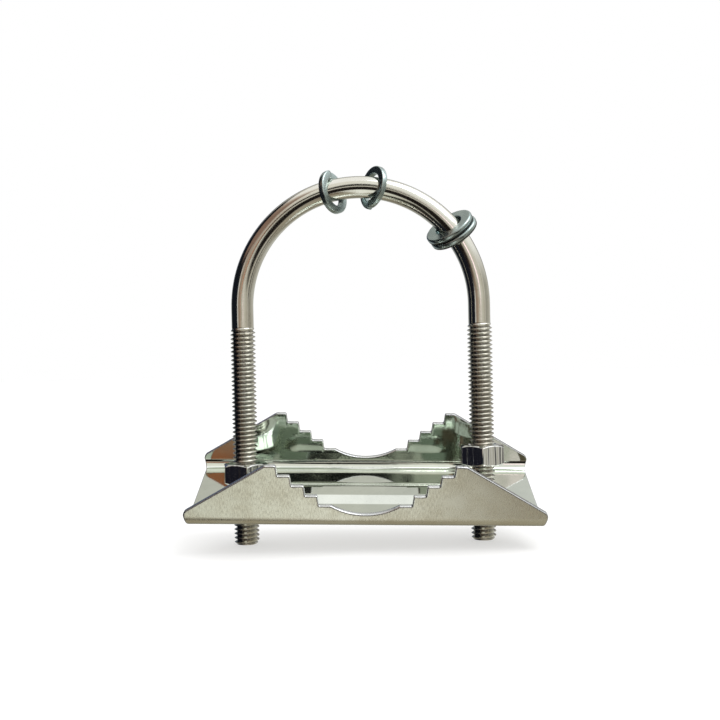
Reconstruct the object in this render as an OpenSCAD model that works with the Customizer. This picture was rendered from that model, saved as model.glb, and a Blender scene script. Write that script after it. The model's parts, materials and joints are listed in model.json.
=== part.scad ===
// U-bolt mast clamp: an M6 U-bolt, a toothed channel saddle, two hex nuts,
// two split lock washers and two flat washers, loosely assembled.
// Origin: midway between the two leg ends. +X: from left leg to right leg.
// +Y: along the mast, away from the viewer. +Z: along the legs, to the arch.

/* [U-bolt] */
// Width inside the arch, which sets the largest mast
inside_width = 51; // [45:0.5:60]
// Diameter of the plain rod
rod_d = 5.2; // [5:0.05:5.4]
// Outside diameter of the thread
thread_d = 5.9; // [5.7:0.05:6]
// Length of each leg, from its end to the start of the arch
leg_length = 55.9; // [54:0.1:70]
// Length of the thread on each leg
thread_length = 51; // [40:0.5:53]
// Chamfer at the end of each leg
end_chamfer = 0.6; // [0.2:0.1:1]

/* [Saddle] */
// Length of the saddle along X
saddle_length = 80.6; // [76:0.1:90]
// Depth of the channel, outside its flanges
saddle_depth = 31; // [28:0.5:36]
// Height of the flanges above the underside
flange_height = 15.5; // [14:0.1:18]
// Thickness of the sheet
sheet = 1.2; // [1:0.1:1.5]
// Radius inside the bends
bend_radius = 2; // [0.4:0.1:2.4]
// Diameter of the bolt holes
hole_d = 7; // [6.8:0.1:7.5]
// Distance from one tooth to the next
tooth_pitch = 3; // [2.6:0.1:3.2]
// Height of one tooth
tooth_rise = 2.4; // [2:0.1:2.5]
// Number of teeth on each side of a flange
teeth = 4; // [3:1:4]
// Half the width of the round valley between the teeth
valley_half = 7.6; // [6:0.1:8]
// Depth of the valley below the lowest tooth
valley_depth = 2.1; // [1:0.1:2.4]
// Width of the flat top of each peak
peak_width = 2.4; // [2:0.1:4]
// Height of the pressed stiffening bead
bead_height = 0.7; // [0.3:0.1:1]

/* [Nuts] */
// Width across the flats
nut_flats = 10; // [9.8:0.1:10.5]
// Height of a nut
nut_height = 4.8; // [4:0.1:5.2]
// Turn of the left nut from corner-on
left_nut_turn = 11; // [-30:1:30]
// Turn of the right nut from corner-on
right_nut_turn = -5; // [-30:1:30]
// Radial running clearance between nut and thread
nut_clearance = 0.03; // [0.01:0.01:0.08]
// Height of the left nut's underside above the leg ends
left_nut_z = 14.3; // [14.3:0.1:20]
// Height of the right nut's underside above the leg ends
right_nut_z = 17.6; // [14.3:0.1:24]

/* [Washers] */
// Bore of a lock washer
lock_bore = 6.9; // [6.5:0.05:7]
// Outside diameter of a lock washer
lock_outside = 10.4; // [9.8:0.1:11]
// Thickness of a lock washer
lock_thickness = 1.5; // [1:0.1:1.6]
// Distance each end of a lock washer springs out of flat
lock_spring = 0.6; // [0.2:0.05:1]
// Bore of a flat washer
flat_bore = 6.7; // [6.6:0.05:7]
// Outside diameter of a flat washer
flat_outside = 12; // [11:0.1:13]
// Thickness of a flat washer
flat_thickness = 1.4; // [1:0.1:1.5]

/* [Assembly] */
// Height of the saddle's web, on the line through its holes
saddle_z = 10.8; // [9:0.1:11]
// Shift of the saddle towards the right leg, inside the play of its holes
saddle_x = 0.2; // [-0.3:0.1:0.3]
// Lean of the saddle on the legs, front edge down
saddle_lean = 19.2; // [0:0.1:20]
// Roll of the saddle, right end down
saddle_roll = 1.5; // [0:0.1:1.5]
// Place of the left lock washer on the arch, in degrees from the right leg
left_lock_place = 102.7; // [100:0.1:160]
// Place of the right lock washer on the arch
right_lock_place = 82.7; // [70:0.1:86]
// Place of the upper flat washer on the arch
upper_flat_place = 40.2; // [36:0.1:55]

/* [Hidden] */
$fn = 96;
eps = 0.01;
steel = "#b9bab0";
bright_zinc = "#c9cdca";
blue_zinc = "#9fb0b2";

// Bend radius of the rod's centre line, which is also half the leg spacing
arch_radius = (inside_width + rod_d) / 2;
thread_runout = (thread_d - rod_d) / 2;
// Flange outline, in the saddle's own X and Z
tooth_foot_z = flange_height - teeth * tooth_rise;
tooth_top_x = valley_half + teeth * tooth_pitch;
peak_x = tooth_top_x + peak_width;
riser_slant = 0.3;
end_top = [saddle_length / 2 + 0.3, 4];
end_foot = [saddle_length / 2 - 0.6, 0];
end_round = 1.4;
valley_radius = (pow(valley_half, 2) + pow(valley_depth, 2)) / (2 * valley_depth);
// Pressed bead, half sizes at its foot and at its flat top
bead_foot = [21, 5.6];
bead_top = [18, 2];
nut_face_r = 0.475 * nut_flats;
nut_corner_r = nut_flats / 2 / cos(30);
nut_chamfer_h = (nut_corner_r - nut_face_r) * tan(30);
nut_bore_r = thread_d / 2 + nut_clearance;
nut_countersink = 0.4;
// Tilt of each washer on the rod: about the radius, then across it
left_lock_yaw = -33;
right_lock_yaw = 33;
right_lock_roll = 5;
lock_drop = 0.4;
flat_yaw = 25.5;
flat_roll = 5.5;
flat_gap = 0.03;
// Angle on the arch between the two flat washers, which lie face to face
flat_step = (flat_thickness + flat_gap) / cos(flat_yaw) / arch_radius * 180 / PI;

// One leg: thread, runout and plain rod, from its end up to the arch
module leg() {
    cylinder(d1 = thread_d - 2 * end_chamfer, d2 = thread_d, h = end_chamfer);
    translate([0, 0, end_chamfer])
        cylinder(d = thread_d, h = thread_length - end_chamfer);
    translate([0, 0, thread_length])
        cylinder(d1 = thread_d, d2 = rod_d, h = thread_runout);
    translate([0, 0, thread_length])
        cylinder(d = rod_d, h = leg_length - thread_length);
}

module u_bolt() {
    color(steel) {
        translate([0, 0, leg_length])
            rotate([90, 0, 0])
                rotate_extrude(angle = 180)
                    translate([arch_radius, 0])
                        circle(d = rod_d);
        for (side = [-1, 1])
            translate([side * arch_radius, 0, 0])
                leg();
    }
}

// Rectangle standing on y = 0 with its two lower corners rounded
module tub(width, height, r) {
    translate([-width / 2, r])
        square([width, height - r]);
    translate([-width / 2 + r, 0])
        square([width - 2 * r, r + eps]);
    for (side = [-1, 1])
        translate([side * (width / 2 - r), r])
            circle(r = r);
}

// Bent channel: web below, a flange up each side
module channel_section() {
    difference() {
        tub(saddle_depth, flange_height, bend_radius + sheet);
        translate([0, sheet])
            tub(saddle_depth - 2 * sheet, flange_height, bend_radius);
    }
}

// Unit vector from a to b
function toward(a, b) = (b - a) / norm(b - a);

// Half outline of the saddle seen along Y: teeth, peak, slope and round end
module half_outline() {
    peak = [peak_x, flange_height];
    to_peak = toward(end_top, peak);
    to_foot = toward(end_top, end_foot);
    half_angle = acos(to_peak * to_foot) / 2;
    setback = end_round / tan(half_angle);
    round_centre = end_top + toward([0, 0], to_peak + to_foot) * end_round / sin(half_angle);
    steps = [for (i = [0 : teeth - 1], p = [
        [valley_half + i * tooth_pitch, tooth_foot_z + i * tooth_rise],
        [valley_half + (i + 1) * tooth_pitch - riser_slant, tooth_foot_z + i * tooth_rise]
    ]) p];
    polygon(concat(
        [[-eps, 0], [-eps, tooth_foot_z]],
        steps,
        [[tooth_top_x, flange_height], peak],
        [end_top + to_peak * setback, end_top + to_foot * setback],
        [end_foot]
    ));
    translate(round_centre)
        circle(r = end_round);
}

module side_outline() {
    difference() {
        for (side = [0, 1])
            mirror([side, 0])
                half_outline();
        translate([0, tooth_foot_z - valley_depth + valley_radius])
            circle(r = valley_radius, $fn = 200);
    }
}

// Trapezoid with its long side on y = 0
module trapezoid(foot, top, height) {
    polygon([[-foot, 0], [foot, 0], [top, height], [-top, height]]);
}

// Shallow bead with sloping sides and ends
module bead() {
    intersection() {
        rotate([90, 0, 0])
            linear_extrude(height = saddle_depth, center = true)
                trapezoid(bead_foot[0], bead_top[0], bead_height);
        rotate([90, 0, 90])
            linear_extrude(height = saddle_length, center = true)
                trapezoid(bead_foot[1], bead_top[1], bead_height);
    }
}

// Saddle standing square, its underside on z = 0
module square_saddle() {
    difference() {
        union() {
            intersection() {
                rotate([90, 0, 90])
                    linear_extrude(height = saddle_length + 2, center = true)
                        channel_section();
                rotate([90, 0, 0])
                    linear_extrude(height = saddle_depth + 2, center = true)
                        side_outline();
            }
            translate([0, 0, sheet])
                bead();
        }
        bead();
        for (side = [-1, 1])
            translate([side * arch_radius, 0, -eps])
                cylinder(d = hole_d, h = sheet + 2 * eps);
    }
}

module saddle() {
    color(bright_zinc)
        translate([saddle_x, 0, saddle_z])
            rotate([0, saddle_roll, 0])
                rotate([saddle_lean, 0, 0])
                    translate([0, 0, -sheet / 2])
                        square_saddle();
}

// Profile that turns the corners off a hexagon at both ends
module nut_chamfer_profile() {
    polygon([
        [0, 0],
        [nut_face_r, 0],
        [nut_corner_r + eps, nut_chamfer_h],
        [nut_corner_r + eps, nut_height - nut_chamfer_h],
        [nut_face_r, nut_height],
        [0, nut_height]
    ]);
}

// Hex nut standing on z = 0, one corner towards the viewer
module nut() {
    difference() {
        intersection() {
            rotate([0, 0, 30])
                cylinder(r = nut_corner_r, h = nut_height, $fn = 6);
            rotate_extrude()
                nut_chamfer_profile();
        }
        translate([0, 0, -eps])
            cylinder(r = nut_bore_r, h = nut_height + 2 * eps);
        for (end = [0, 1])
            translate([0, 0, end * nut_height])
                mirror([0, 0, end])
                    translate([0, 0, -eps])
                        cylinder(r1 = nut_bore_r + nut_countersink, r2 = nut_bore_r - eps,
                                 h = nut_countersink + eps);
    }
}

module left_nut() {
    color(bright_zinc)
        translate([-arch_radius, 0, left_nut_z])
            rotate([0, 0, left_nut_turn])
                nut();
}

module right_nut() {
    color(bright_zinc)
        translate([arch_radius, 0, right_nut_z])
            rotate([0, 0, right_nut_turn])
                nut();
}

// Puts a washer on the arch, with its axis along the rod
module on_arch(place, drop, yaw, roll) {
    translate([0, 0, leg_length])
        rotate([0, -place, 0])
            translate([arch_radius - drop, 0, 0])
                rotate([0, roll, 0])
                    rotate([yaw, 0, 0])
                        children();
}

// Split washer with its split at +X: each half springs away from flat about its
// far side, so the two ends stand apart along the axis
module lock_washer(hand) {
    mean_r = (lock_bore + lock_outside) / 4;
    section_w = (lock_outside - lock_bore) / 2;
    split_angle = 6;
    spring_angle = atan(lock_spring / (2 * mean_r));
    for (half = [-1, 1])
        translate([-mean_r, 0, 0])
            rotate([0, -half * hand * spring_angle, 0])
                translate([mean_r, 0, 0])
                    mirror([0, half < 0 ? 1 : 0, 0])
                        rotate([0, 0, split_angle])
                            rotate_extrude(angle = 180 - split_angle + 1)
                                translate([mean_r, 0])
                                    square([section_w, lock_thickness], center = true);
}

module left_lock_washer() {
    color(blue_zinc)
        on_arch(left_lock_place, lock_drop, left_lock_yaw, 0)
            lock_washer(1);
}

module right_lock_washer() {
    color(blue_zinc)
        on_arch(right_lock_place, 0, right_lock_yaw, right_lock_roll)
            rotate([0, 0, 180])
                lock_washer(1);
}

module flat_washer() {
    difference() {
        cylinder(d = flat_outside, h = flat_thickness, center = true);
        cylinder(d = flat_bore, h = flat_thickness + 2 * eps, center = true);
    }
}

module upper_flat_washer() {
    color(blue_zinc)
        on_arch(upper_flat_place, 0, flat_yaw, flat_roll)
            flat_washer();
}

module lower_flat_washer() {
    color(blue_zinc)
        on_arch(upper_flat_place - flat_step, 0, flat_yaw, flat_roll - flat_step)
            flat_washer();
}

u_bolt();
saddle();
left_nut();
right_nut();
left_lock_washer();
right_lock_washer();
upper_flat_washer();
lower_flat_washer();
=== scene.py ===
"""Looks of the U-bolt mast clamp.

Every CAD node is replaced by a mesh of the same size with the detail of the real part:
rolled threads, chamfered nuts, spring washers with a slanted cut, and a saddle that is
punched flat with rounded cut edges and then folded. Lengths are in millimetres until a
mesh is made, and every piece is built in its own frame and then moved to its place.
"""

import json
import math

import bmesh
import bpy
from mathutils import Matrix, Vector


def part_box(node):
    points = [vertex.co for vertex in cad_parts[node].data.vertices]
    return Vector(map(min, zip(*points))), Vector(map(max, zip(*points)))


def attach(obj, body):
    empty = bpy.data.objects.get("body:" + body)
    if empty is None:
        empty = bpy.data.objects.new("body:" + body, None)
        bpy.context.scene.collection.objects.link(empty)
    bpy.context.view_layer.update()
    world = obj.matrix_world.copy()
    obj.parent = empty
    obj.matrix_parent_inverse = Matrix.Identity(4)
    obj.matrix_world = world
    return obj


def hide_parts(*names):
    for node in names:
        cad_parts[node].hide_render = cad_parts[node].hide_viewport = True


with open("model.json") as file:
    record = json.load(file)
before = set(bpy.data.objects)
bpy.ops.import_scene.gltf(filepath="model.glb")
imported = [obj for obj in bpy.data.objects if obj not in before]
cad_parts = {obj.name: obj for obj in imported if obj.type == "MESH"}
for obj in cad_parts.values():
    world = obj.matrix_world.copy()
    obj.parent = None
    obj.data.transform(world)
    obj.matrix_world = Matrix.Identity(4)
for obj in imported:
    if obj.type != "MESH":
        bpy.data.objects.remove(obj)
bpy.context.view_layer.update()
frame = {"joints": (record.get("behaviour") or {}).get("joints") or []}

MM = 0.001
TAU = 2 * math.pi

# U-bolt
THREAD_R = 2.95
ROD_R = 2.6
PITCH = 1.0
THREAD_DEPTH = 0.6134 * PITCH
THREAD_LENGTH = 51.2
RUNOUT = 1.1
END_R = 2.35
# The slightly domed end of a leg: (radius, height)
END_FACE = ((END_R, 0), (2.1, 0.03), (1.2, 0.12), (0.4, 0.15))
ROWS_PER_TURN = 16
AROUND_ROD = 48
ALONG_ARCH = 96

# Nuts, and how far each is turned on its leg, in degrees
NUT_APOTHEM = 5.0
NUT_HEIGHT = 4.8
NUT_FACE_R = 4.75
NUT_CORNER_ROUND = 0.35
NUT_BORE_R = 2.99
COUNTERSINK = 0.42
NUT_TURNS = {"left_nut": 11, "right_nut": -5}

# Flat washers, torn along the lower part of the punched rim and bore; the near-black colour on the
# outer rim's lower part is painted shade
FLAT_BORE_R = 3.35
FLAT_R = 6.0
FLAT_THICK = 1.4
TORN_INSET = 0.06
TORN_TOP = -0.25
TORN_SHADED_RIM_WIDTH = 0.3
SMOOTH, TORN_SHADED = range(2)
AROUND_FLAT = 96

# Lock washers
LOCK_MEAN_R = 4.325
LOCK_WIDTH = 1.75
LOCK_THICK = 1.5
LOCK_SPRING = 0.6
LOCK_SPLIT = math.radians(4)
LOCK_SLANT = math.radians(10)
AROUND_LOCK = 72

# Places of the washers on the arch, in degrees and mm, as the CAD part has them
LEFT_LOCK_PLACE = dict(place=102.7, drop=0.4, yaw=-33, roll=0)
RIGHT_LOCK_PLACE = dict(place=82.7, drop=0, yaw=33, roll=5)
UPPER_FLAT_PLACE = dict(place=40.2, drop=0, yaw=25.5, roll=5.5)
FLAT_GAP = 0.03

# Saddle, as it stands square with its underside on z = 0
SHEET = 1.2
SADDLE_DEPTH = 31.0
FLANGE_HEIGHT = 15.5
BEND_R = 2.0
MID_BEND_R = BEND_R + SHEET / 2
WEB_HALF = SADDLE_DEPTH / 2 - SHEET - BEND_R
BEND_LENGTH = MID_BEND_R * math.pi / 2
FLANGE_FOOT_Z = SHEET + BEND_R
FLANGE_FOOT_S = WEB_HALF + BEND_LENGTH
TEETH = 4
TOOTH_PITCH = 3.0
TOOTH_RISE = 2.4
RISER_SLANT = 0.3
VALLEY_HALF = 7.6
VALLEY_DEPTH = 2.1
PEAK_WIDTH = 2.4
END_TOP = (40.6, 4.0)
END_FOOT = (39.7, 0.0)
END_ROUND = 1.4
TOOTH_ROUNDS = [0.35, 0.3]
PEAK_ROUNDS = [0.5, 1.2]
HOLE_R = 3.5
BEAD_HEIGHT = 0.7
BEAD_FOOT = (21.0, 5.6)
BEAD_TOP = (18.0, 2.0)
SADDLE_LEAN = 19.2
# The cut edge from the outside of the sheet to the inside: (inset in mm, height in half sheets)
CUT_EDGE = (
    (0.30, -1.0), (0.14, -0.95), (0.04, -0.82), (0.0, -0.6),
    (0.0, 0.7), (0.03, 0.88), (0.10, 0.97), (0.18, 1.0),
)
# Places of the saddle's materials in its list
OUTSIDE, INSIDE, CUT, WEB = range(4)
# The saddle's strips: 1 mm along it, narrower across the bead and round the bends
LONG_CUTS = 22
BEAD_STRIP = 0.4
BEAD_CUTS = 15
BEND_STRIPS = 12


# ---------------------------------------------------------------- mesh helpers

def make_piece(name, mesh, node, materials, place, sharp_deg=38):
    """Turns a bmesh in millimetres into an object that stands for a CAD node and rides on its body.

    The mesh keeps its unplaced coordinates in "local", which the materials' textures follow.
    """
    bmesh.ops.remove_doubles(mesh, verts=mesh.verts, dist=1e-3)
    bmesh.ops.dissolve_degenerate(mesh, edges=mesh.edges, dist=1e-4)
    bmesh.ops.recalc_face_normals(mesh, faces=mesh.faces)
    data = bpy.data.meshes.new(name)
    mesh.to_mesh(data)
    mesh.free()
    local = data.attributes.new("local", "FLOAT_VECTOR", "POINT")
    for vertex, stored in zip(data.vertices, local.data):
        stored.vector = vertex.co
    data.transform(place @ Matrix.Scale(MM, 4))
    data.shade_smooth()
    data.set_sharp_from_angle(angle=math.radians(sharp_deg))
    for material in materials:
        data.materials.append(material)
    piece = bpy.data.objects.new(name, data)
    bpy.context.scene.collection.objects.link(piece)
    weighted = piece.modifiers.new("even normals", "WEIGHTED_NORMAL")
    weighted.keep_sharp = True
    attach(piece, node)
    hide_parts(node)
    return piece


def add_loft(mesh, rows, closed=True, shift=0, caps=(False, False)):
    """Skins rows of points; a row's last point joins the first point of the row `shift` on."""
    grid = [[mesh.verts.new(p) for p in row] for row in rows]
    last = len(grid) - 1
    count = len(grid[0])
    for j in range(last):
        for i in range(count if closed else count - 1):
            wraps = i + 1 == count
            low = min(j + shift, last) if wraps else j
            high = min(j + 1 + shift, last) if wraps else j + 1
            if low == high:
                continue
            k = (i + 1) % count
            mesh.faces.new((grid[j][i], grid[low][k], grid[high][k], grid[j + 1][i]))
    if caps[0]:
        mesh.faces.new(grid[0][::-1])
    if caps[1]:
        mesh.faces.new(grid[-1])
    return grid


def corner_arc(before, corner, after, radius, steps=4):
    """Points of an arc of this radius that rounds one corner of a flat path."""
    back = (Vector(before) - Vector(corner)).normalized()
    ahead = (Vector(after) - Vector(corner)).normalized()
    half = back.angle(ahead) / 2
    reach = radius / math.tan(half)
    centre = Vector(corner) + (back + ahead).normalized() * radius / math.sin(half)
    start = Vector(corner) + back * reach - centre
    sweep = start.angle_signed(Vector(corner) + ahead * reach - centre)
    return [
        tuple(centre + Matrix.Rotation(-sweep * i / steps, 2) @ start)
        for i in range(steps + 1)
    ]


def rounded(path, radii, closed=False, steps=4):
    """A flat path with each corner rounded by its own radius; a radius of 0 keeps the corner."""
    made = []
    for i, corner in enumerate(path):
        inside = closed or 0 < i < len(path) - 1
        if radii[i] and inside:
            after = path[(i + 1) % len(path)]
            made += corner_arc(path[i - 1], corner, after, radii[i], steps)
        else:
            made.append(tuple(corner))
    return made


def lathe(profile, angles):
    """Rows of points: the (radius, height) profile turned about Z."""
    return [[(r * math.cos(a), r * math.sin(a), z) for a in angles] for r, z in profile]


def even_angles(count):
    return [TAU * i / count for i in range(count)]


# ---------------------------------------------------------------- thread

def thread_depth(phase):
    """Depth below the crest at a share of a pitch: 60 degree thread, flat crest and root."""
    from_crest = min(phase, 1 - phase) * PITCH
    crest_half = PITCH / 16
    return min(max((from_crest - crest_half) * math.sqrt(3), 0), THREAD_DEPTH)


def helix_rows(angles, low, high, radius):
    """Rows of points that climb a right-hand helix between two heights."""
    turns = math.ceil((high - low) / PITCH) + 1
    rows = []
    for j in range(turns * ROWS_PER_TURN + 1):
        phase = j % ROWS_PER_TURN / ROWS_PER_TURN
        row = []
        for a in angles:
            climb = j / ROWS_PER_TURN - 1 + a / TAU
            z = min(max(low + PITCH * climb, low), high)
            r = radius(phase, z)
            row.append((r * math.cos(a), r * math.sin(a), z))
        rows.append(row)
    return rows


def leg_radius(phase, z):
    """Thread with a chamfered start, which fades into the plain rod."""
    fade = min(1, (THREAD_LENGTH - z) / RUNOUT)
    threaded = THREAD_R - thread_depth(phase)
    return min(ROD_R + (threaded - ROD_R) * fade, END_R + z)


def bore_radius(phase, z):
    """A nut's thread, which opens into a countersink at both ends."""
    to_end = min(z - COUNTERSINK, NUT_HEIGHT - COUNTERSINK - z)
    return NUT_BORE_R + thread_depth(phase) * 0.7 * min(1, to_end / 0.25)


# ---------------------------------------------------------------- pieces

def u_bolt_mesh(arch_r, leg_length):
    """Two threaded legs and the bent rod between them, as one closed skin."""
    mesh = bmesh.new()
    angles = even_angles(AROUND_ROD)
    for side in (-1, 1):
        for rows, shift, caps in (
            (lathe(END_FACE, angles), 0, (False, True)),
            (helix_rows(angles, 0, THREAD_LENGTH, leg_radius), ROWS_PER_TURN, (False, False)),
            (lathe(((ROD_R, THREAD_LENGTH), (ROD_R, leg_length)), angles), 0, (False, False)),
        ):
            moved = [[(x + side * arch_r, y, z) for x, y, z in row] for row in rows]
            add_loft(mesh, moved, shift=shift, caps=caps)
    arch = []
    for i in range(ALONG_ARCH + 1):
        turn = Matrix.Rotation(-math.pi * i / ALONG_ARCH, 4, "Y")
        ring = [(arch_r + ROD_R * math.cos(a), ROD_R * math.sin(a), 0) for a in angles]
        arch.append([turn @ Vector(p) + Vector((0, 0, leg_length)) for p in ring])
    add_loft(mesh, arch)
    return mesh


def nut_radius(angle):
    """Radius of the rounded hexagon in a direction, with a corner at -Y."""
    from_corner = abs((angle + math.pi / 2 + math.pi / 6) % (math.pi / 3) - math.pi / 6)
    centre = (NUT_APOTHEM - NUT_CORNER_ROUND) / math.cos(math.pi / 6)
    tangent = math.atan2(
        NUT_CORNER_ROUND * 0.5, centre + NUT_CORNER_ROUND * math.cos(math.pi / 6)
    )
    if from_corner >= tangent:
        return NUT_APOTHEM / math.cos(math.pi / 6 - from_corner)
    across = centre * math.sin(from_corner)
    return centre * math.cos(from_corner) + math.sqrt(NUT_CORNER_ROUND**2 - across**2)


def nut_angles():
    """Directions round a nut, close together at its corners."""
    steps = (-1.8, -0.9, 0, 0.9, 1.8, 6, 12, 18, 24, 30, 36, 42, 48, 54)
    return sorted(math.radians(60 * k + s + 30) % TAU for k in range(6) for s in steps)


def nut_mesh():
    mesh = bmesh.new()
    angles = nut_angles()
    columns = []
    for a in angles:
        r = nut_radius(a)
        chamfer = (r - NUT_FACE_R) * math.tan(math.pi / 6)
        lower = [
            (NUT_BORE_R, COUNTERSINK), (NUT_BORE_R + COUNTERSINK, 0),
            (NUT_FACE_R, 0), (r, chamfer),
        ]
        upper = [(radius, NUT_HEIGHT - z) for radius, z in reversed(lower)]
        profile = rounded(lower + upper, (0, 0.12, 0.25, 0.1, 0.1, 0.25, 0.12, 0), steps=3)
        columns.append([(p * math.cos(a), p * math.sin(a), z) for p, z in profile])
    add_loft(mesh, [list(row) for row in zip(*columns)])
    rows = helix_rows(angles, COUNTERSINK, NUT_HEIGHT - COUNTERSINK, bore_radius)
    add_loft(mesh, rows, shift=ROWS_PER_TURN)
    return mesh


def flat_washer_mesh():
    """Punched washer: rolled-over edges on its upper side, a torn and narrower lower rim, painted
    dark as shade on its outside.
    """
    mesh = bmesh.new()
    half = FLAT_THICK / 2
    torn_bore_r = FLAT_BORE_R + TORN_INSET
    torn_r = FLAT_R - TORN_INSET
    profile = rounded(
        (
            (FLAT_BORE_R, half), (FLAT_BORE_R, 0), (torn_bore_r, -0.15),
            (torn_bore_r, -half), (torn_r, -half), (torn_r, TORN_TOP),
            (FLAT_R, -0.1), (FLAT_R, half),
        ),
        (0.3, 0.05, 0.05, 0.08, 0.24, 0.05, 0.05, 0.42),
        closed=True,
        steps=4,
    )
    rows = lathe(profile, even_angles(AROUND_FLAT))
    add_loft(mesh, rows + [rows[0]])
    # The lower outer rim takes the near-black material: painted shade along the bottom of the rim,
    # where the washers meet.
    for face in mesh.faces:
        centre = face.calc_center_median()
        if centre.z < TORN_TOP and centre.xy.length > FLAT_R - TORN_SHADED_RIM_WIDTH:
            face.material_index = TORN_SHADED
        else:
            face.material_index = SMOOTH
    return mesh


def lock_washer_mesh():
    """Spring washer: a left-hand turn of rounded wire, cut on a slant at +X and sprung open."""
    mesh = bmesh.new()
    wide, thick = LOCK_WIDTH / 2, LOCK_THICK / 2
    section = rounded(
        ((-wide, -thick), (wide, -thick * 0.92), (wide, thick * 0.92), (-wide, thick)),
        (0.22, 0.3, 0.3, 0.22),
        closed=True,
        steps=4,
    )
    rows = []
    for i in range(AROUND_LOCK + 1):
        share = i / AROUND_LOCK
        near_cut = abs(2 * share - 1) ** 6
        slim = 1 - 0.3 * abs(2 * share - 1) ** 40
        angle = LOCK_SPLIT + (TAU - 2 * LOCK_SPLIT) * share
        climb = LOCK_SPRING * (1 - 2 * share)
        row = []
        for across, along in section:
            r = LOCK_MEAN_R + across * slim
            a = angle + along * math.tan(LOCK_SLANT) / r * near_cut
            row.append((r * math.cos(a), r * math.sin(a), climb + along * slim))
        rows.append(row)
    add_loft(mesh, rows, caps=(True, True))
    return mesh


# ---------------------------------------------------------------- saddle

def flange_edge():
    """Right half of a flange's edge, from the middle of the valley to its foot, as (x, z)."""
    foot_z = FLANGE_HEIGHT - TEETH * TOOTH_RISE
    valley_r = (VALLEY_HALF**2 + VALLEY_DEPTH**2) / (2 * VALLEY_DEPTH)
    valley_z = foot_z - VALLEY_DEPTH + valley_r
    steps = 14
    points = []
    for i in range(steps):
        x = VALLEY_HALF * i / steps
        points.append((x, valley_z - math.sqrt(valley_r**2 - x**2)))
    radii = [0] * steps
    for i in range(TEETH):
        left = VALLEY_HALF + i * TOOTH_PITCH
        tread_z = foot_z + i * TOOTH_RISE
        points += [(left, tread_z), (left + TOOTH_PITCH - RISER_SLANT, tread_z)]
        radii += TOOTH_ROUNDS
    tooth_top_x = VALLEY_HALF + TEETH * TOOTH_PITCH
    lean = (END_TOP[0] - END_FOOT[0]) / (END_TOP[1] - END_FOOT[1])
    end = (END_FOOT[0] + lean * SHEET / 2, SHEET / 2)
    points += [
        (tooth_top_x, FLANGE_HEIGHT), (tooth_top_x + PEAK_WIDTH, FLANGE_HEIGHT), END_TOP, end,
    ]
    radii += PEAK_ROUNDS + [END_ROUND, 0]
    path = rounded(points, radii, steps=6)
    start = Vector(path[-2])
    return path[:-1] + [tuple(start.lerp(end, i / 8)) for i in range(1, 9)]


def unfolded(z):
    """How far across the flat sheet its middle reaches this height."""
    if z >= FLANGE_FOOT_Z:
        return FLANGE_FOOT_S + z - FLANGE_FOOT_Z
    return WEB_HALF + MID_BEND_R * math.acos(min((FLANGE_FOOT_Z - z) / MID_BEND_R, 1))


def blank_outline():
    """Closed outline of the sheet before it is folded: x along the saddle, s across it."""
    quarter = [(x, unfolded(z)) for x, z in flange_edge()]
    half = quarter + [(x, -s) for x, s in reversed(quarter)]
    return half + [(-x, s) for x, s in reversed(half[1:-1])]


def inset(loop, distance):
    """A closed loop moved to its right, which is into the sheet for a clockwise outline."""
    moved = []
    for i, point in enumerate(loop):
        back = (Vector(point) - Vector(loop[i - 1])).normalized()
        ahead = (Vector(loop[(i + 1) % len(loop)]) - Vector(point)).normalized()
        along = (back + ahead).normalized()
        stretch = distance / max(along.dot(back), 0.5)
        moved.append((point[0] + along.y * stretch, point[1] - along.x * stretch))
    return moved


def bead_share(distance, top, foot):
    """1 on the bead's flat top, 0 outside its foot."""
    share = min(max((foot - abs(distance)) / (foot - top), 0), 1)
    return share * share * (3 - 2 * share) * 0.5 + share * 0.5


def fold(point):
    """Where a point of the flat sheet goes: x stays, s runs round the bends, t is its height."""
    x, s, t = point
    side = math.copysign(1, s)
    reach = abs(s)
    bead_z = BEAD_HEIGHT * bead_share(x, BEAD_TOP[0], BEAD_FOOT[0]) * bead_share(
        s, BEAD_TOP[1], BEAD_FOOT[1]
    )
    if reach <= WEB_HALF:
        return Vector((x, s, SHEET / 2 + t + bead_z))
    radius = MID_BEND_R - t
    turn = min((reach - WEB_HALF) / MID_BEND_R, math.pi / 2)
    y = WEB_HALF + radius * math.sin(turn)
    z = FLANGE_FOOT_Z - radius * math.cos(turn) + max(reach - FLANGE_FOOT_S, 0)
    return Vector((x, side * y, z))


def ring_edges(ring):
    """The mesh edges round a closed ring of vertices."""
    pairs = zip(ring, ring[1:] + ring[:1])
    return [a.link_edges[[e.other_vert(a) for e in a.link_edges].index(b)] for a, b in pairs]


def punch(mesh, hole_x):
    """Makes the flat blank with its two holes: rounded cut edges, then both faces of the sheet."""
    loops = [blank_outline()]
    for side in (-1, 1):
        hole = [(HOLE_R * math.cos(a), HOLE_R * math.sin(a)) for a in even_angles(64)]
        loops.append([(side * hole_x + x, s) for x, s in hole])
    first, last = [], []
    for loop in loops:
        rows = [
            [(x, s, height * SHEET / 2) for x, s in inset(loop, depth)]
            for depth, height in CUT_EDGE
        ]
        grid = add_loft(mesh, rows)
        first += ring_edges(grid[0])
        last += ring_edges(grid[-1])
    for face in mesh.faces:
        face.material_index = CUT
    for edges, index in ((first, OUTSIDE), (last, INSIDE)):
        filled = bmesh.ops.triangle_fill(mesh, edges=edges, use_beauty=True)
        for face in filled["geom"]:
            if isinstance(face, bmesh.types.BMFace):
                face.material_index = index


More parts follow.
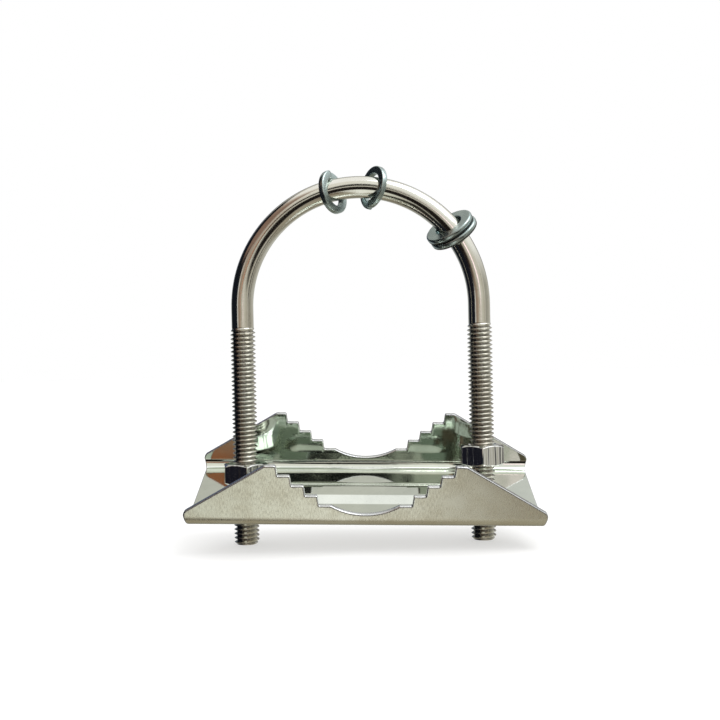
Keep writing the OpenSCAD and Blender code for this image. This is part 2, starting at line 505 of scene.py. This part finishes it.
def cut_into_strips(mesh):
    """Cuts the flat blank where it will bend or rise, so that it can."""
    cuts = [((x, 0, 0), (1, 0, 0)) for x in range(-LONG_CUTS, LONG_CUTS + 1)]
    cuts += [((0, BEAD_STRIP * s, 0), (0, 1, 0)) for s in range(-BEAD_CUTS, BEAD_CUTS + 1)]
    for side in (-1, 1):
        for i in range(BEND_STRIPS + 1):
            s = WEB_HALF + BEND_LENGTH * i / BEND_STRIPS
            cuts.append(((0, side * s, 0), (0, 1, 0)))
    for place, normal in cuts:
        parts = mesh.verts[:] + mesh.edges[:] + mesh.faces[:]
        bmesh.ops.bisect_plane(mesh, geom=parts, plane_co=place, plane_no=normal, dist=1e-5)


def saddle_mesh(hole_x):
    mesh = bmesh.new()
    punch(mesh, hole_x)
    cut_into_strips(mesh)
    # The web's inside gets its own lighter tint, and the flanges' inside keeps the darker, greener
    # one: painted shade and a painted green reflection.
    for face in mesh.faces:
        in_web = abs(face.calc_center_median().y) < FLANGE_FOOT_S
        if face.material_index == INSIDE and in_web:
            face.material_index = WEB
    for vert in mesh.verts:
        vert.co = fold(vert.co)
    return mesh


# ---------------------------------------------------------------- materials

def add(tree, kind, inputs=None, **settings):
    """Adds a node. An input that is a socket is linked, and any other is a value."""
    made = tree.nodes.new(kind)
    for key, value in settings.items():
        setattr(made, key, value)
    for key, value in (inputs or {}).items():
        if isinstance(value, bpy.types.NodeSocket):
            tree.links.new(value, made.inputs[key])
        else:
            made.inputs[key].default_value = value
    return made


def noise(tree, where, scale, stretch=(1, 1, 1), detail=3.0):
    """Noise with this many features per unit of `where`, stretched along the axes."""
    mapping = add(tree, "ShaderNodeMapping", {"Vector": where, "Scale": stretch})
    made = add(
        tree, "ShaderNodeTexNoise",
        {"Vector": mapping.outputs[0], "Scale": scale, "Detail": detail, "Roughness": 0.55},
    )
    return made.outputs["Fac"]


def spread(tree, value, low, high, from_low=0.3, from_high=0.7):
    """Maps a noise value to a range."""
    limits = {"From Min": from_low, "From Max": from_high, "To Min": low, "To Max": high}
    return add(tree, "ShaderNodeMapRange", {"Value": value, **limits}).outputs[0]


def mix_colour(tree, share, a, b):
    made = add(tree, "ShaderNodeMix", data_type="RGBA")
    for socket, value in ((made.inputs[0], share), (made.inputs[6], a), (made.inputs[7], b)):
        if isinstance(value, bpy.types.NodeSocket):
            tree.links.new(value, socket)
        else:
            socket.default_value = value
    return made.outputs[2]


def math_node(tree, operation, *values):
    return add(tree, "ShaderNodeMath", dict(enumerate(values)), operation=operation).outputs[0]


def multiply(tree, a, b):
    return math_node(tree, "MULTIPLY", a, b)


def bump(tree, height, strength, distance_mm, normal=None):
    inputs = {"Height": height, "Strength": strength, "Distance": distance_mm * MM}
    if normal is not None:
        inputs["Normal"] = normal
    return add(tree, "ShaderNodeBump", inputs).outputs[0]


def zinc(
    name, tint, stain, roughness, grain=(1, 1, 1), grain_depth=0.004,
    wave=0.0, wave_scale=0.09, wave_grain=(1, 1, 1), hollow_shade=0.0,
):
    """Zinc plate: two tints in clouds, directional grain, small pits, waves, and painted shade in
    hollows.
    """
    material = bpy.data.materials.new(name)
    material.use_nodes = True
    tree = material.node_tree
    shader = tree.nodes["Principled BSDF"]
    where = add(tree, "ShaderNodeAttribute", attribute_name="local").outputs["Vector"]
    clouds = noise(tree, where, 0.16, detail=5.0)
    streaks = noise(tree, where, 4.0, grain, detail=4.0)
    pits = noise(tree, where, 2.6, detail=2.0)
    ripple = noise(tree, where, wave_scale, wave_grain, detail=1.0)
    colour = mix_colour(tree, spread(tree, clouds, 0, 1), (*tint, 1), (*stain, 1))
    dark = tuple(0.45 * c for c in stain)
    colour = mix_colour(tree, spread(tree, pits, 0, 0.55, 0.66, 0.78), colour, (*dark, 1))
    # Painted shade: hollows such as thread roots are darkened towards near black by pointiness.
    if hollow_shade:
        hollow = add(tree, "ShaderNodeNewGeometry").outputs["Pointiness"]
        share = spread(tree, hollow, hollow_shade, 0, 0.44, 0.51)
        colour = mix_colour(tree, share, colour, (0.05, 0.045, 0.04, 1))
    rough = spread(tree, streaks, 0.75 * roughness, 1.35 * roughness)
    rough = multiply(tree, rough, spread(tree, clouds, 0.85, 1.2))
    normal = bump(tree, streaks, 0.5, grain_depth)
    normal = bump(tree, pits, 0.25, 0.003, normal)
    if wave:
        normal = bump(tree, ripple, 1.0, wave, normal)
    for key, value in (("Base Color", colour), ("Roughness", rough), ("Normal", normal)):
        tree.links.new(value, shader.inputs[key])
    shader.inputs["Metallic"].default_value = 1.0
    return material


# ---------------------------------------------------------------- studio

def ramp(tree, value, stops):
    """A colour ramp; stops are (position from 0 to 1, colour)."""
    made = add(tree, "ShaderNodeValToRGB", {"Fac": value})
    elements = made.color_ramp.elements
    while len(elements) > 1:
        elements.remove(elements[0])
    elements[0].position = stops[0][0]
    elements[0].color = (*stops[0][1], 1)
    for position, colour in stops[1:]:
        elements.new(position).color = (*colour, 1)
    return made.outputs[0]


# What stands round the object at eye level, by azimuth: 0 is the camera's side, 90 is +X
EYE_LEVEL = (
    (-180, (0.55, 0.55, 0.5)), (-150, (0.38, 0.4, 0.4)), (-137, (0.2, 0.23, 0.25)),
    (-50, (0.25, 0.24, 0.22)), (-45, (0.78, 0.77, 0.73)), (-39, (0.6, 0.57, 0.52)),
    (-35, (0.3, 0.22, 0.16)), (-22, (0.36, 0.28, 0.21)), (-10, (0.5, 0.46, 0.38)),
    (0, (0.62, 0.6, 0.52)), (20, (0.7, 0.68, 0.6)), (38, (0.6, 0.58, 0.5)),
    (53, (0.45, 0.43, 0.36)), (60, (0.62, 0.6, 0.54)), (70, (0.36, 0.35, 0.3)),
    (100, (0.42, 0.41, 0.36)), (135, (0.58, 0.57, 0.52)), (180, (0.55, 0.55, 0.5)),
)
# The same for the light tent above, and for the table below
TENT = (
    (-180, (0.58, 0.58, 0.52)), (-120, (0.5, 0.48, 0.44)), (-85, (0.42, 0.32, 0.25)),
    (-50, (0.5, 0.4, 0.32)), (-30, (0.85, 0.82, 0.74)), (0, (0.88, 0.87, 0.8)),
    (30, (1.0, 1.02, 0.98)), (140, (1.0, 1.0, 0.98)), (165, (0.64, 0.65, 0.62)),
    (180, (0.58, 0.58, 0.52)),
)
TABLE = (
    (-180, (0.2, 0.19, 0.15)), (-130, (0.3, 0.28, 0.22)), (-60, (0.4, 0.37, 0.28)),
    (-12, (0.8, 0.82, 0.73)), (-3, (0.92, 0.93, 0.84)), (4, (0.94, 0.95, 0.86)),
    (10, (0.14, 0.1, 0.06)), (22, (0.3, 0.26, 0.2)), (40, (0.4, 0.36, 0.28)),
    (130, (0.3, 0.28, 0.22)), (180, (0.2, 0.19, 0.15)),
)
# Cards that stand in front of all that: (azimuths), (elevations), softness of the edges, colour
CARDS = (
    # dim paper right under the object, and a light strip of it in front
    ((-181, 181), (-91, -56), 8, (0.36, 0.33, 0.25)),
    ((-14, 5), (-78, -52), 6, (0.94, 0.94, 0.86)),
    # brown card high on the left
    ((-122, -22), (20, 50), 10, (0.26, 0.17, 0.13)),
    # black card low in front, and black cards on the left
    ((-62, 46), (-34, -3), 5, (0.012, 0.009, 0.008)),
    ((-136, -49), (-64, 26), 5, (0.008, 0.01, 0.015)),
    ((-136, -84), (20, 57), 5, (0.008, 0.01, 0.015)),
    # dark blue and grey cards behind
    ((-181, -140), (8, 34), 5, (0.09, 0.11, 0.16)),
    ((140, 181), (8, 34), 5, (0.2, 0.19, 0.18)),
    # narrow black card on the right, then two that fill in the left
    ((63, 71), (-40, 0), 3, (0.03, 0.03, 0.03)),
    ((-75, -38), (-14, -1), 3, (0.01, 0.01, 0.015)),
    ((-64, -30), (-82, -38), 5, (0.03, 0.025, 0.02)),
    # round the camera, which the channel's square corner reflects: black, brown, bright
    ((-10, 1.5), (5.3, 16), 0.8, (0.01, 0.015, 0.015)),
    ((-4, 3), (5.3, 26), 1, (0.01, 0.01, 0.01)),
    ((-14, -7.4), (4.3, 10), 1.5, (0.6, 0.2, 0.1)),
    ((7.5, 16), (4.5, 14), 2, (1.75, 1.4, 1.5)),
)
OVERHEAD = (1.05, 1.05, 1.03)
# Even light that matt surfaces get, whatever the metal sees
DIFFUSE_LIGHT = (1.16, 1.16, 1.16)
# The paper's own light, which keeps the object's shadow faint
PAPER_GLOW = 0.52


def by_azimuth(stops):
    return [(azimuth / 360 + 0.5, colour) for azimuth, colour in stops]


def window(tree, value, limits, soft):
    """1 between the limits, 0 outside them, with soft edges."""
    low, high = limits
    rise = spread(tree, value, 0, 1, low - soft / 2, low + soft / 2)
    fall = spread(tree, value, 1, 0, high - soft / 2, high + soft / 2)
    return multiply(tree, rise, fall)


def tent_colour(tree):
    """Colour of the light tent in the direction that a ray leaves."""
    direction = add(tree, "ShaderNodeTexCoord").outputs["Generated"]
    axes = add(tree, "ShaderNodeSeparateXYZ", {0: direction})
    toward = multiply(tree, axes.outputs[1], -1.0)
    turn = math_node(tree, "ARCTAN2", axes.outputs[0], toward)
    around = math_node(tree, "MULTIPLY_ADD", turn, 1 / TAU, 0.5)
    rise = math_node(tree, "ARCSINE", axes.outputs[2])
    azimuth = multiply(tree, turn, math.degrees(1))
    elevation = multiply(tree, rise, math.degrees(1))
    seen = ramp(tree, around, by_azimuth(EYE_LEVEL))
    above = spread(tree, elevation, 0, 1, 12, 30)
    seen = mix_colour(tree, above, seen, ramp(tree, around, by_azimuth(TENT)))
    below = spread(tree, elevation, 1, 0, -40, -24)
    seen = mix_colour(tree, below, seen, ramp(tree, around, by_azimuth(TABLE)))
    overhead = spread(tree, elevation, 0, 1, 54, 62)
    seen = mix_colour(tree, overhead, seen, (*OVERHEAD, 1))
    for azimuths, elevations, soft, colour in CARDS:
        card = multiply(
            tree, window(tree, azimuth, azimuths, soft), window(tree, elevation, elevations, soft)
        )
        seen = mix_colour(tree, card, seen, (*colour, 1))
    return seen


def studio():
    """White to the camera, even light for the floor, and a light tent for the metal to reflect."""
    world = bpy.data.worlds.new("studio")
    bpy.context.scene.world = world
    world.use_nodes = True
    tree = world.node_tree
    tree.nodes.clear()
    seen = tent_colour(tree)
    light_path = add(tree, "ShaderNodeLightPath")
    seen = mix_colour(tree, light_path.outputs["Is Diffuse Ray"], seen, (*DIFFUSE_LIGHT, 1))
    seen = mix_colour(tree, light_path.outputs["Is Camera Ray"], seen, (1, 1, 1, 1))
    background = add(tree, "ShaderNodeBackground", {"Color": seen, "Strength": 1.0})
    out = add(tree, "ShaderNodeOutputWorld")
    tree.links.new(background.outputs[0], out.inputs[0])


def floor_material():
    """Pale matt paper, lit a little from below like a light table."""
    material = bpy.data.materials.new("paper")
    material.use_nodes = True
    tree = material.node_tree
    paper = tree.nodes["Principled BSDF"]
    paper.inputs["Roughness"].default_value = 0.9
    paper.inputs["Specular IOR Level"].default_value = 0.1
    where = add(tree, "ShaderNodeTexCoord").outputs["Object"]
    fibres = noise(tree, where, 3000.0)
    colour = mix_colour(tree, fibres, (0.46, 0.46, 0.455, 1), (0.48, 0.48, 0.48, 1))
    tree.links.new(colour, paper.inputs["Base Color"])
    paper.inputs["Emission Color"].default_value = (1, 1, 1, 1)
    paper.inputs["Emission Strength"].default_value = PAPER_GLOW
    return material


def floor():
    """Table top. The metal doesn't see it, and reflects the studio's painted table instead."""
    data = bpy.data.meshes.new("floor")
    size = 2.5
    corners = [(-size, -size, 0), (size, -size, 0), (size, size, 0), (-size, size, 0)]
    data.from_pydata(corners, [], [(0, 1, 2, 3)])
    data.materials.append(floor_material())
    made = bpy.data.objects.new("floor", data)
    made.visible_glossy = False
    bpy.context.scene.collection.objects.link(made)


def soft_light(name, place, size, energy):
    """A square softbox aimed at the middle of the clamp."""
    data = bpy.data.lights.new(name, "AREA")
    data.size = size
    data.energy = energy
    light = bpy.data.objects.new(name, data)
    light.location = place
    aim = Vector((0, 0, 0.04)) - light.location
    light.rotation_euler = aim.to_track_quat("-Z", "Y").to_euler()
    bpy.context.scene.collection.objects.link(light)


def camera():
    data = bpy.data.cameras.new("camera")
    data.lens = 47.0
    data.sensor_width = 36.0
    data.clip_start = 0.01
    made = bpy.data.objects.new("camera", data)
    made.location = (0.00065, -0.2232, 0.04298)
    made.rotation_euler = (math.radians(90), math.radians(1.2), math.radians(0.27))
    bpy.context.scene.collection.objects.link(made)
    bpy.context.scene.camera = made


# ---------------------------------------------------------------- assembly

def on_arch(arch_r, leg_length, place, drop, yaw, roll):
    """Matrix that puts a washer on the arch with its axis along the rod, then leans it."""
    lift = Matrix.Translation((0, 0, leg_length * MM))
    swing = Matrix.Rotation(math.radians(-place), 4, "Y")
    out = Matrix.Translation(((arch_r - drop) * MM, 0, 0))
    tilt = Matrix.Rotation(math.radians(roll), 4, "Y") @ Matrix.Rotation(math.radians(yaw), 4, "X")
    return lift @ swing @ out @ tilt


def flat_place(arch_r, steps):
    """Place of a flat washer that lies this many washers down the arch from the upper one."""
    upper = UPPER_FLAT_PLACE
    pitch = (FLAT_THICK + FLAT_GAP) / math.cos(math.radians(upper["yaw"]))
    swing = steps * math.degrees(pitch / arch_r)
    return dict(upper, place=upper["place"] - swing, roll=upper["roll"] - swing)


def saddle_place():
    """Matrix of the saddle, from its hinge line in the frame and the lean it rests at."""
    hinge = next(j for j in frame["joints"] if j["name"] == "saddle_tilt")
    axis = Vector(hinge["axis"])
    roll = Matrix.Rotation(math.atan2(-axis.z, axis.x), 4, "Y")
    lean = Matrix.Rotation(math.radians(SADDLE_LEAN), 4, "X")
    drop = Matrix.Translation((0, 0, -SHEET / 2 * MM))
    return Matrix.Translation(hinge["pos_m"]) @ roll @ lean @ drop


def build_u_bolt(arch_r, leg_length):
    # Painted shade darkens the rod's thread roots and other hollows.
    rod = zinc(
        "rod_zinc", (0.81, 0.81, 0.76), (0.71, 0.68, 0.61), 0.12,
        grain=(1, 1, 0.15), grain_depth=0.008, wave=0.02, hollow_shade=0.95,
    )
    make_piece(
        "u_bolt_rod", u_bolt_mesh(arch_r, leg_length), "u_bolt",
        [rod], Matrix.Identity(4), sharp_deg=80,
    )


def build_saddle(hole_x):
    # The outside's beige tint is partly the zinc's own colour and partly a painted reflection of
    # beige surroundings.
    outside = zinc(
        "sheet_outside", (0.83, 0.83, 0.75), (0.76, 0.73, 0.62), 0.25,
        grain=(1, 1, 0.25), grain_depth=0.003, wave=0.05,
    )
    # The flanges' inside tint is partly passivation and partly painted: darker than the web's
    # inside as painted shade, and green as a painted reflection.
    inside = zinc("sheet_inside", (0.50, 0.57, 0.50), (0.38, 0.44, 0.38), 0.06, wave=0.12)
    # The cut edge's light, cool tint is bare steel's colour, and its lightness also paints white
    # highlights along the cut edges.
    edge = zinc("cut_edge", (0.86, 0.87, 0.88), (0.7, 0.72, 0.76), 0.22, grain=(1, 0.2, 1))
    web = zinc("sheet_web", (0.82, 0.85, 0.79), (0.72, 0.75, 0.70), 0.07, wave=0.04)
    make_piece(
        "saddle_sheet", saddle_mesh(hole_x), "saddle",
        [outside, inside, edge, web], saddle_place(),
    )


def build_nuts():
    nut = zinc(
        "nut_zinc", (0.84, 0.85, 0.84), (0.76, 0.77, 0.76), 0.09,
        grain=(1, 1, 0.06), wave=0.13, wave_scale=0.9, wave_grain=(1, 1, 0.06),
    )
    for node, degrees in NUT_TURNS.items():
        low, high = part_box(node)
        centre = (low + high) / 2
        foot = Matrix.Translation((centre.x, centre.y, low.z))
        turn = Matrix.Rotation(math.radians(degrees), 4, "Z")
        make_piece(node + "_hex", nut_mesh(), node, [nut], foot @ turn)


def build_washers(arch_r, leg_length):
    washer = zinc("washer_zinc", (0.48, 0.57, 0.57), (0.40, 0.48, 0.48), 0.26, wave=0.04)
    # Near-black tint for the torn rims: painted shade where the washers meet, laid on a real torn
    # zone.
    torn_shaded = zinc("torn_edge_shaded", (0.12, 0.13, 0.13), (0.08, 0.08, 0.08), 0.4)
    no_turn = Matrix.Identity(4)
    half_turn = Matrix.Rotation(math.pi, 4, "Z")
    for node, place, mesh, turn in (
        ("left_lock_washer", LEFT_LOCK_PLACE, lock_washer_mesh(), no_turn),
        ("right_lock_washer", RIGHT_LOCK_PLACE, lock_washer_mesh(), half_turn),
        ("upper_flat_washer", flat_place(arch_r, 0), flat_washer_mesh(), no_turn),
        ("lower_flat_washer", flat_place(arch_r, 1), flat_washer_mesh(), no_turn),
    ):
        placed = on_arch(arch_r, leg_length, **place) @ turn
        make_piece(node + "_ring", mesh, node, [washer, torn_shaded], placed)


def build():
    """Makes every piece, with the U-bolt's size taken from its box in the frame."""
    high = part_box("u_bolt")[1]
    arch_r = high.x / MM - THREAD_R
    leg_length = high.z / MM - arch_r - ROD_R
    build_u_bolt(arch_r, leg_length)
    build_saddle(arch_r)
    build_nuts()
    build_washers(arch_r, leg_length)


build()
floor()
studio()
soft_light("key", (0.25, -0.1, 0.5), 0.35, 1.2)
camera()
bpy.context.scene.view_settings.view_transform = "Standard"
